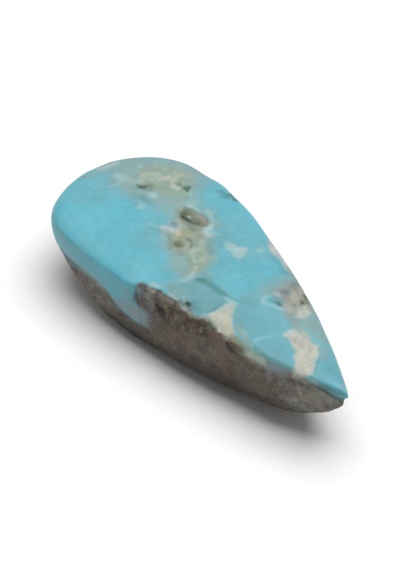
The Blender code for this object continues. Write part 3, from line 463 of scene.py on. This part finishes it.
# Marks on the far wall, by X and Z
FAR_MARKS = (
    patch("teal", 0.5, 0.9, (-19, 7.2), (-8, 7.2), (-2, 5.4), (-4, 4), (-19, 4)),
    patch("haze", 0.8, 0.5, (-15.2, 7), (-11.6, 7), (-11, 5.6), (-12.4, 4.7), (-14.2, 5)),
    patch("sage", 0.7, 0.3, (-13.6, 6.4), (-12.4, 6.3), (-12, 5.4), (-13, 5), (-13.8, 5.5)),
    patch("mauve", 0.6, 0.5, (-2, 6.8), (5, 6.8), (3, 5.6), (0, 5), (-2.4, 5.2)),
    patch("rock", 1, 0.2, (-19.5, 4.3), (-16.5, 4.2), (-14.4, 3.9), (-12.6, 3.3), (-10.2, 3.2), (-8.4, 3.6),
          (-7.2, 3.4), (-5.4, 4.1), (-3.6, 4.4), (-1.4, 4.5), (0.4, 5.1), (2.2, 5.2), (4.4, 5.8),
          (6.4, 5.7), (8.2, 6.1), (10.2, 5.9), (12.4, 5.5), (14.6, 5.4), (17, 5.3), (19.5, 5.2), (19.5, -2),
          (-19.5, -2)),
    stroke("slate", 0.8, 0.25, 0.16, (-16, 4.1), (-13.6, 3.6), (-11, 3.2), (-8.4, 3.5)),
    stroke("slate", 0.6, 0.2, 0.12, (0.4, 5.1), (3, 5.4), (5.6, 5.7)),
    patch("cream", 0.85, 0.25, (-1, 6.9), (1.6, 6.9), (1.8, 6), (0.6, 5.6), (-0.6, 5.9)),
    patch("taupe", 0.9, 0.25, (4.6, 6.9), (8.4, 6.9), (8, 6.1), (6.2, 5.7), (5, 6)),
    stroke("soot", 0.6, 0.16, 0.1, (5.6, 6.2), (6.4, 6)),
    stroke("deep", 0.8, 0.2, 0.12, (-8.6, 6.9), (-8.3, 5.6), (-7.2, 4.6), (-6.4, 3.9)),
    stroke("pine", 0.6, 0.16, 0.08, (-8.5, 6.4), (-8.2, 5.5)),
    stroke("ice", 0.6, 0.2, 0.1, (-6, 6.6), (-5.4, 5.4), (-4.2, 4.9)),
    patch("ash", 0.8, 0.8, (-14, 3.2), (-8, 3.2), (-5, 3.6), (-5.4, 1.4), (-10, 1)),
    stroke("moss", 0.6, 0.4, 0.3, (-3.6, 4), (-1, 4.2), (0.6, 4.8)),
    stroke("rust", 0.6, 0.4, 0.4, (0.6, 3.9), (3.2, 4.5)),
    stroke("soot", 0.7, 0.2, 0.16, (1.8, 4.8), (3.4, 5.1)),
    stroke("soot", 0.7, 0.2, 0.14, (-2.6, 3.2), (-1.8, 3.7)),
    stroke("khaki", 0.8, 0.25, 0.18, (7.6, 5.9), (9.4, 5.7), (10.6, 5.6)),
    stroke("soot", 0.6, 0.2, 0.12, (9, 5.2), (10.4, 5.1)),
    patch("ash", 0.85, 0.6, (12, 5.3), (17.2, 5.2), (15.6, 3), (12.4, 3.2)),
    stroke("slate", 0.7, 0.25, 0.2, (14.6, 5.6), (17.6, 5.5)),
    stroke("dark", 0.6, 0.16, 0.08, (14.8, 5.5), (17, 5.4)),
)

# Marks underneath, by X and Y
BASE_MARKS = (
    patch("ash", 0.7, 1.2, (-12, -3.6), (-7, -4.6), (-2, -3), (-3, 0.6), (-8, 2), (-12.6, 0.6)),
    patch("moss", 0.35, 0.9, (-6, 1.6), (-1, 0.6), (2, 2.4), (-2, 4.2)),
    patch("rust", 0.4, 0.9, (2, -2.6), (6.4, -2), (7, 0.4), (3.4, 0.8)),
    patch("ash", 0.6, 0.8, (9, -1.6), (15, -0.6), (14.6, 0.8), (9, 1.6)),
    stroke("soot", 0.6, 0.25, 0.14, (-10.4, 3), (-7.4, 2.2), (-5, 3)),
    stroke("soot", 0.6, 0.25, 0.14, (0.4, -3.2), (3, -1.4), (6.4, -1)),
    stroke("slate", 0.4, 0.3, 0.16, (-13, -1.6), (-11, -0.4), (-9.2, -0.6), (-7.4, 0.6)),
    stroke("moss", 0.7, 0.3, 0.2, (3.8, 2), (6.2, 1.2)),
)

# Each mineral: its colour in full light, in the numbers of a picture; how raw its surface is, from 0 for
# polished to 1 for broken rock; how far it stands out; and the sizes of its grain, each with its height
Mineral = namedtuple("Mineral", "colour raw rise grains", defaults=(0.0, 0.0, ()))
CRUMB = ((0.45, 0.02),)
BROKEN = ((1.3, 0.075), (0.6, 0.050), (0.3, 0.035))
MINERALS = {
    "turquoise": Mineral((103, 191, 209)),
    "aqua": Mineral((112, 183, 196)),
    "lagoon": Mineral((104, 173, 190)),
    "azure": Mineral((78, 177, 194)),
    "pale": Mineral((124, 183, 193)),
    "teal": Mineral((110, 168, 175)),
    "haze": Mineral((144, 172, 168), 0.2),
    "sage": Mineral((150, 173, 156), 0.5, -0.01, CRUMB),
    "mauve": Mineral((148, 162, 163), 0.4, -0.01, CRUMB),
    "milk": Mineral((166, 200, 200), 0.1),
    "ice": Mineral((146, 197, 204)),
    "white": Mineral((182, 201, 203), 0.2),
    "cream": Mineral((198, 200, 188), 0.6, -0.03, CRUMB),
    "ivory": Mineral((201, 202, 180), 0.6, -0.03, CRUMB),
    "beige": Mineral((184, 178, 166), 0.6, -0.03, CRUMB),
    "sand": Mineral((164, 165, 136), 0.6, -0.03, CRUMB),
    "khaki": Mineral((146, 159, 140), 0.6, -0.03, CRUMB),
    "taupe": Mineral((156, 159, 150), 0.6, -0.02, CRUMB),
    "olive": Mineral((122, 128, 105), 0.6, -0.04, CRUMB),
    "umber": Mineral((122, 128, 108), 0.6, -0.05, ((0.5, 0.05),)),
    "pine": Mineral((84, 116, 108), 0.4, -0.03),
    "dark": Mineral((62, 76, 60), 0.6, -0.04),
    "deep": Mineral((82, 146, 146), 0.2, -0.015),
    "celery": Mineral((173, 189, 174), 0.6, -0.02, CRUMB),
    "jet": Mineral((36, 56, 52), 0.6, -0.04),
    "fog": Mineral((130, 154, 160), 0.3),
    "pewter": Mineral((116, 130, 127), 0.5, -0.02, CRUMB),
    "slate": Mineral((82, 104, 106), 0.5, -0.02, CRUMB),
    "rock": Mineral((105, 96, 88), 1.0, -0.03, BROKEN),
    "ash": Mineral((124, 121, 114), 1.0, -0.03, BROKEN),
    "moss": Mineral((116, 109, 86), 1.0, -0.03, BROKEN),
    "rust": Mineral((108, 88, 74), 1.0, -0.03, BROKEN),
    "pink": Mineral((124, 104, 92), 1.0, -0.02, BROKEN),
    "plum": Mineral((98, 96, 98), 1.0, -0.03, BROKEN),
    "soot": Mineral((66, 58, 50), 1.0, -0.06, BROKEN),
    "crust": Mineral((96, 88, 76), 1.0, -0.04, ((0.5, 0.09), (0.28, 0.05))),
    "lilac": Mineral((184, 192, 196), 0.3, 0.0, CRUMB),
}
# How much brighter than its own colour the studio shows a level face, which linear() takes off again
LIGHT = 1.15

# How far the marks' edges are led astray, each with the size of the waves
WANDER = ((0.05, 1.3), (0.04, 0.4))
# How level a face must be for the top's marks or the underside's, between which heights the top's marks
# begin, and how softly the near wall passes into the far one round the ends
LEVEL = (0.35, 0.75)
TOP_BEGINS = (4.6, 5.4)
SIDE_SOFTNESS = 1.2

# Painted shade: the host rock is painted darker downwards on the walls, standing in for the shade at their
# foot:
# between which heights, and how dark; how much higher this begins towards the point, and as far as where;
# how its edge waves; and how far down a face must look to be left out
PAINTED_SHADE_HEIGHTS = (1.1, 3.5)
PAINTED_FOOT_SHADE = 0.3
LOW_LEAN = 0.07
LEAN_REACH = 9.0
LOW_WAVE = 0.5
LOW_WAVE_SIZE = 3.0
UNDERNEATH = (0.6, 0.95)

# What tells one field of noise from another: a shift for each seed
NOISE_SHIFT = Vector((31.7, 12.9, 47.3))
GRAIN_SEED = 20
LOW_SEED = 41

# Blotches that break the minerals up where they meet: the size of each in millimetres, with its shift in
# metres; their form and their edges; how far they swing a raw mineral's weight; and the least left of it
BLOTCHES = ((0.8, (0.0, 0.023, 0.0)), (0.4, (0.011, 0.023, 0.007)), (0.5, (0.022, 0.023, 0.014)))
BLOTCH_FORM = {"detail": 2.5, "roughness": 0.6}
BLOTCH_EDGES = (0.25, 0.75)
MOTTLE = 1.3
LEAST = 0.02

# The material's noises, with the size of their forms in millimetres and shifts in metres
CLOUDS = {"size": 2.6, "detail": 3.0, "warp": 0.4}
FLECKS = {"size": 0.55, "detail": 3.0, "roughness": 0.6}
GRIT = {"size": 0.8, "detail": 4.0, "roughness": 0.65, "shift": (0.003, 0.007, 0.001)}
GRAIN = {"size": 0.22, "detail": 3.0, "roughness": 0.65}
# For each, the part of its range that counts, and the shades that it gives there
CLOUD_SHADES = (0.3, 0.7, 0.955, 1.045)
FLECK_SHADES = (0.25, 0.8, 0.965, 1.065)
GRIT_SHADES = (0.3, 0.7, 0.77, 1.23)
GRAIN_SHADES = (0.3, 0.7, 0.78, 1.22)

# How rough the polish is where the flecks are low and high, and how rough the broken rock is
POLISH = (0.2, 0.8, 0.36, 0.48)
RAW_ROUGHNESS = 0.88
# The bump: its strength, its height in metres, the grain's part in it, and how much of it the polish keeps
BUMP_STRENGTH = 0.6
BUMP_HEIGHT = 0.00006
BUMP_GRAIN = 0.6
BUMP_POLISHED = 0.05

# The speckled crust under the rim: the noise of its spots, where it turns gold and dark, and both colours
SPOTS = {"size": 0.6, "roughness": 0.6, "shift": (0.005, 0.001, 0.009)}
GOLD_SPOTS = (0.54, 0.62)
DARK_SPOTS = (0.48, 0.39)
CRUST_GOLD = (136, 124, 100)
CRUST_DARK = (44, 37, 32)

# The faint pale veil that drifts through the polished turquoise: its noise, how much of it there is at the
# ends of the noise's range, how raw a surface must be to have none, and its colour
DRIFTS = {"size": 1.8, "detail": 3.0, "warp": 0.4, "shift": (0.013, 0.002, 0.006)}
VEIL_SHARES = (0.4, 0.7, 0.0, 0.25)
VEIL_ENDS = 0.3
VEIL = (132, 186, 192)

# The table, with how far it reaches in metres, and its two shades
TABLE_REACH = 1.5
TABLE_CLOUDS = {"size": 4.0, "detail": 3.0}
TABLE_EDGES = (0.3, 0.7)
TABLE_SHADES = ((0.955, 0.955, 0.955, 1.0), (0.97, 0.97, 0.97, 1.0))
TABLE_ROUGHNESS = 0.9

# The softbox overhead, in metres and watts, and the even white light from all round
LAMP_PLACE = Vector((0.0, 0.1, 0.6))
LAMP_AIM = Vector((0.0, 0.0, 0.0))
LAMP_SIZE = 0.7
LAMP_POWER = 4.1
ROOM_LIGHT = 0.25
WHITE = (1.0, 1.0, 1.0, 1.0)

# The camera, at the photograph's angle: degrees, and millimetres but for the clipping, which is in metres
AZIMUTH = 57.081
ELEVATION = 36.797
DISTANCE = 250.107
AIM = Vector((0.589, -1.992, 6.6))
LENS = 200.0
SENSOR = 36.0
CLIPPING = (0.01, 10.0)


def smooth(value):
    """0 below 0, 1 above 1, and a soft S between them."""
    clipped = np.clip(value, 0.0, 1.0)
    return clipped * clipped * (3.0 - 2.0 * clipped)


def fade(value, start, end):
    """0 up to the start, 1 past the end, and a soft S between them."""
    return smooth((value - start) / (end - start))


def noise_field(points, size, seed):
    """Smooth noise between about -1 and 1, with forms of one size."""
    return np.array([noise.noise(Vector(point) / size + NOISE_SHIFT * seed) for point in points])


def wandered(points):
    """The points, led a little astray at each size."""
    moved = points.copy()
    for row, (reach, size) in enumerate(WANDER):
        for axis in range(3):
            moved[:, axis] += reach * noise_field(points, size, 3 * row + axis + 1)
    return moved


def distance_to_run(places, start, end):
    """How far each place in the plane is from a straight run."""
    start, end = np.array(start, float), np.array(end, float)
    run = end - start
    share = np.clip((places - start) @ run / (run @ run), 0.0, 1.0)
    return np.linalg.norm(places - start - share[:, None] * run, axis=1)


def inside(places, points):
    """Whether each place is inside the closed line of points."""
    within = np.zeros(len(places), bool)
    for (ax, ay), (bx, by) in zip(points, points[1:] + points[:1]):
        if ay == by:
            continue
        crosses = (places[:, 1] > ay) != (places[:, 1] > by)
        at = ax + (places[:, 1] - ay) / (by - ay) * (bx - ax)
        within ^= crosses & (places[:, 0] < at)
    return within


def share_of(mark, places):
    """How much of the mark each place has, from 0 to its strength."""
    corners = np.array(mark.points, float)
    room = mark.edge + (mark.width or 0.0)
    near = np.all((places > corners.min(0) - room) & (places < corners.max(0) + room), axis=1)
    share = np.zeros(len(places))
    if not near.any():
        return share
    chosen = places[near]
    closed = mark.width is None
    ends = mark.points[1:] + (mark.points[:1] if closed else ())
    away = np.min([distance_to_run(chosen, start, end) for start, end in zip(mark.points, ends)], axis=0)
    depth = np.where(inside(chosen, mark.points), away, -away) if closed else mark.width - away
    share[near] = mark.strength * fade(depth, -mark.edge, mark.edge)
    return share


def layered(marks, places, ground):
    """The share of each mineral at each place: the ground, with one mark after another laid over it."""
    shares = {mineral: np.zeros(len(places)) for mineral in MINERALS}
    shares[ground] += 1.0
    for mark in marks:
        laid = share_of(mark, places)
        for share in shares.values():
            share *= 1.0 - laid
        shares[mark.mineral] += laid
    return shares


def painted(points, normals):
    """The share of each mineral at each point, from the marks on the top, on both walls and underneath."""
    led = wandered(points)
    on_top = fade(points[:, 2], *TOP_BEGINS) * fade(normals[:, 2], *LEVEL)
    under = fade(-normals[:, 2], *LEVEL)
    side = 1.0 - on_top - under
    far = fade(points[:, 1], -SIDE_SOFTNESS, SIDE_SOFTNESS)
    sides = (
        (layered(TOP_MARKS, led[:, [0, 1]], "turquoise"), on_top),
        (layered(NEAR_MARKS, led[:, [0, 2]], "turquoise"), side * (1.0 - far)),
        (layered(FAR_MARKS, led[:, [0, 2]], "turquoise"), side * far),
        (layered(BASE_MARKS, led[:, [0, 1]], "rock"), under),
    )
    return {mineral: sum(shares[mineral] * weight for shares, weight in sides) for mineral in MINERALS}


def placed(name, data):
    """A new object with this data, in the scene."""
    obj = bpy.data.objects.new(name, data)
    bpy.context.scene.collection.objects.link(obj)
    return obj


def skin_of(node):
    """A fine, even skin over the solid, in millimetres."""
    bm = bmesh.new()
    bm.from_mesh(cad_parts[node].data)
    bmesh.ops.remove_doubles(bm, verts=bm.verts, dist=WELD)
    bmesh.ops.scale(bm, verts=bm.verts, vec=(MM, MM, MM))
    mesh = bpy.data.meshes.new("skin")
    bm.to_mesh(mesh)
    bm.free()
    working = placed("working", mesh)
    remesh = working.modifiers.new("even faces", "REMESH")
    remesh.mode = "VOXEL"
    remesh.voxel_size = FINE
    working.modifiers.new("no facets", "SMOOTH").iterations = SMOOTHING
    skin = bpy.data.meshes.new_from_object(working.evaluated_get(bpy.context.evaluated_depsgraph_get()))
    bpy.data.objects.remove(working)
    return skin


def relief_of(points, shares):
    """The height that the minerals' own grain adds at each point."""
    fields = {}
    height = np.zeros(len(points))
    for mineral, looks in MINERALS.items():
        grain = np.full(len(points), looks.rise)
        for seed, (size, amount) in enumerate(looks.grains, start=GRAIN_SEED):
            if (size, seed) not in fields:
                fields[size, seed] = noise_field(points, size, seed)
            grain += amount * fields[size, seed]
        height += grain * shares[mineral]
    return height


def painted_foot_shade_of(points, normals):
    """How much painted shade each point gets at the foot of the walls, from 0 to 1."""
    lift = LOW_LEAN * np.clip(points[:, 0], -LEAN_REACH, LEAN_REACH)
    height = points[:, 2] - lift + LOW_WAVE * noise_field(points, LOW_WAVE_SIZE, LOW_SEED)
    return (1.0 - fade(height, *PAINTED_SHADE_HEIGHTS)) * (1.0 - fade(-normals[:, 2], *UNDERNEATH))


def nugget_mesh():
    """The skin with its relief, and with what the material reads from each point."""
    mesh = skin_of(NODE)
    points = np.array([vertex.co for vertex in mesh.vertices])
    normals = np.array([vertex.normal for vertex in mesh.vertices])
    shares = painted(points, normals)
    values = dict(shares)
    values["raw"] = sum(looks.raw * shares[mineral] for mineral, looks in MINERALS.items())
    # The painted shade at the foot of the walls, kept for the material
    values["low"] = painted_foot_shade_of(points, normals)
    points = points + relief_of(points, shares)[:, None] * normals
    points[:, 2] = np.maximum(points[:, 2], 0.0)
    mesh.vertices.foreach_set("co", points.ravel())
    for name, value in values.items():
        attribute = mesh.attributes.new(name, "FLOAT", "POINT")
        attribute.data.foreach_set("value", value.astype(np.float32))
    mesh.transform(Matrix.Scale(1 / MM, 4))
    mesh.shade_smooth()
    mesh.update()
    return mesh


def linear(colour):
    """A picture's colour, by the usual curve, as the amounts of light that the shader works with."""
    shares = [number / 255 for number in colour]
    amounts = [s / 12.92 if s <= 0.04045 else ((s + 0.055) / 1.055) ** 2.4 for s in shares]
    return tuple(amount / LIGHT for amount in amounts) + (1.0,)


class Graph:
    """A material's nodes, made one call at a time; each call returns the new node's output."""

    def __init__(self, name):
        self.material = bpy.data.materials.new(name)
        self.material.use_nodes = True
        self.tree = self.material.node_tree
        self.shader = self.tree.nodes["Principled BSDF"]
        self.place = self.node("ShaderNodeTexCoord").outputs["Object"]

    def node(self, kind, values=(), **settings):
        """A node with these settings, and a value or another node's output in each socket named."""
        made = self.tree.nodes.new(kind)
        for name, value in settings.items():
            setattr(made, name, value)
        for key, value in dict(values).items():
            self.put(made.inputs[key], value)
        return made

    def put(self, socket, value):
        if isinstance(value, bpy.types.NodeSocket):
            self.tree.links.new(value, socket)
        else:
            socket.default_value = value

    def math(self, operation, first, second=0.0, third=0.0):
        values = {0: first, 1: second, 2: third}
        return self.node("ShaderNodeMath", values, operation=operation).outputs[0]

    def noise(self, size, detail=2.0, roughness=0.5, warp=0.0, shift=(0.0, 0.0, 0.0)):
        """Noise from 0 to 1 with forms of this size in millimetres."""
        moved = self.node("ShaderNodeVectorMath", {0: self.place, 1: shift}).outputs[0]
        form = {"Scale": MM / size, "Detail": detail, "Roughness": roughness, "Distortion": warp}
        return self.node("ShaderNodeTexNoise", {"Vector": moved, **form}).outputs["Fac"]

    def between(self, value, low, high, to_low=0.0, to_high=1.0):
        values = {"Value": value, "From Min": low, "From Max": high, "To Min": to_low, "To Max": to_high}
        return self.node("ShaderNodeMapRange", values, interpolation_type="SMOOTHSTEP").outputs["Result"]

    def attribute(self, name):
        return self.node("ShaderNodeAttribute", attribute_name=name).outputs["Fac"]

    # A mix node's sockets go by number, since its kinds of value share their names
    def mix(self, share, first, second):
        values = {0: share, 6: first, 7: second}
        return self.node("ShaderNodeMix", values, data_type="RGBA").outputs[2]

    def mix_numbers(self, share, first, second):
        values = {0: share, 2: first, 3: second}
        return self.node("ShaderNodeMix", values, data_type="FLOAT").outputs[0]

    def add_colour(self, first, second):
        return self.node("ShaderNodeVectorMath", {0: first, 1: second}, operation="ADD").outputs[0]

    def scale_colour(self, colour, scale):
        return self.node("ShaderNodeVectorMath", {0: colour, 3: scale}, operation="SCALE").outputs[0]


def paint_of(g):
    """The minerals' colours, mottled where they meet: the more there is of one, the less it breaks up."""
    channels = []
    for size, shift in BLOTCHES:
        channel = g.between(g.noise(size, shift=shift, **BLOTCH_FORM), *BLOTCH_EDGES)
        channels += [channel, g.math("SUBTRACT", 1.0, channel)]

    total, colour = 0.0, (0.0, 0.0, 0.0)
    for place, (mineral, looks) in enumerate(MINERALS.items()):
        mottle = min(MOTTLE * looks.raw, 1.0)
        swing = g.math("MULTIPLY_ADD", channels[place % len(channels)], 2.0 * mottle, 1.0 - mottle)
        weight = g.math("MULTIPLY", g.attribute(mineral), g.math("MAXIMUM", swing, LEAST))
        total = g.math("ADD", total, weight)
        colour = g.add_colour(colour, g.scale_colour(linear(looks.colour)[:3], weight))
    return g.scale_colour(colour, g.math("DIVIDE", 1.0, total))


def speckled(g, colour):
    """The colour, with gold and dark spots in the crust."""
    crust = g.attribute("crust")
    spots = g.noise(**SPOTS)
    for limits, tint in ((GOLD_SPOTS, CRUST_GOLD), (DARK_SPOTS, CRUST_DARK)):
        colour = g.mix(g.math("MULTIPLY", crust, g.between(spots, *limits)), colour, linear(tint))
    return colour


def stone_material():
    g = Graph("turquoise in matrix")
    clouds, flecks, grit, grain = (g.noise(**form) for form in (CLOUDS, FLECKS, GRIT, GRAIN))
    raw = g.attribute("raw")

    colour = speckled(g, paint_of(g))
    veil = g.between(g.noise(**DRIFTS), *VEIL_SHARES)
    veil = g.math("MULTIPLY", veil, g.between(raw, 0.0, VEIL_ENDS, 1.0, 0.0))
    colour = g.mix(veil, colour, linear(VEIL))
    polished = g.math("MULTIPLY", g.between(clouds, *CLOUD_SHADES), g.between(flecks, *FLECK_SHADES))
    gritty = g.math("MULTIPLY", g.between(grit, *GRIT_SHADES), g.between(grain, *GRAIN_SHADES))
    shade = g.mix_numbers(g.math("MULTIPLY", raw, raw), polished, gritty)
    # Painted shade: the raw rock is made darker towards the foot of the walls
    low = g.math("MULTIPLY", g.attribute("low"), raw)
    shade = g.math("MULTIPLY", shade, g.math("MULTIPLY_ADD", low, PAINTED_FOOT_SHADE - 1.0, 1.0))
    g.put(g.shader.inputs["Base Color"], g.scale_colour(colour, shade))

    g.put(g.shader.inputs["Roughness"], g.mix_numbers(raw, g.between(flecks, *POLISH), RAW_ROUGHNESS))

    share = g.math("MULTIPLY_ADD", raw, 1.0 - BUMP_POLISHED, BUMP_POLISHED)
    height = g.math("MULTIPLY", g.math("MULTIPLY_ADD", grain, BUMP_GRAIN, flecks), share)
    bump = g.node("ShaderNodeBump", {"Strength": BUMP_STRENGTH, "Distance": BUMP_HEIGHT, "Height": height})
    g.put(g.shader.inputs["Normal"], bump.outputs["Normal"])
    return g.material


def add_nugget():
    mesh = nugget_mesh()
    mesh.materials.append(stone_material())
    stone = placed("turquoise_nugget", mesh)
    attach(stone, "root")
    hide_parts(NODE)


def add_floor():
    g = Graph("white table")
    clouds = g.between(g.noise(**TABLE_CLOUDS), *TABLE_EDGES)
    g.put(g.shader.inputs["Base Color"], g.mix(clouds, *TABLE_SHADES))
    g.put(g.shader.inputs["Roughness"], TABLE_ROUGHNESS)
    bm = bmesh.new()
    bmesh.ops.create_grid(bm, x_segments=1, y_segments=1, size=TABLE_REACH)
    mesh = bpy.data.meshes.new("table")
    bm.to_mesh(mesh)
    bm.free()
    mesh.materials.append(g.material)
    floor = placed("table", mesh)


def add_lights():
    light = bpy.data.lights.new("overhead softbox", "AREA")
    light.shape = "DISK"
    light.size = LAMP_SIZE
    light.energy = LAMP_POWER
    lamp = placed("overhead softbox", light)
    lamp.location = LAMP_PLACE
    lamp.rotation_euler = (LAMP_AIM - LAMP_PLACE).to_track_quat("-Z", "Y").to_euler()
    world = bpy.data.worlds.new("studio")
    world.use_nodes = True
    background = world.node_tree.nodes["Background"]
    background.inputs["Color"].default_value = WHITE
    background.inputs["Strength"].default_value = ROOM_LIGHT
    bpy.context.scene.world = world
    bpy.context.scene.view_settings.view_transform = "Standard"


def add_camera():
    turn, rise = math.radians(AZIMUTH), math.radians(ELEVATION)
    back = Vector((math.sin(turn) * math.cos(rise), -math.cos(turn) * math.cos(rise), math.sin(rise)))
    camera = bpy.data.cameras.new("camera")
    camera.lens = LENS
    camera.sensor_width = SENSOR
    camera.clip_start, camera.clip_end = CLIPPING
    obj = placed("camera", camera)
    obj.location = (AIM + DISTANCE * back) / MM
    obj.rotation_euler = (-back).to_track_quat("-Z", "Y").to_euler()
    bpy.context.scene.camera = obj


add_nugget()
add_floor()
add_lights()
add_camera()
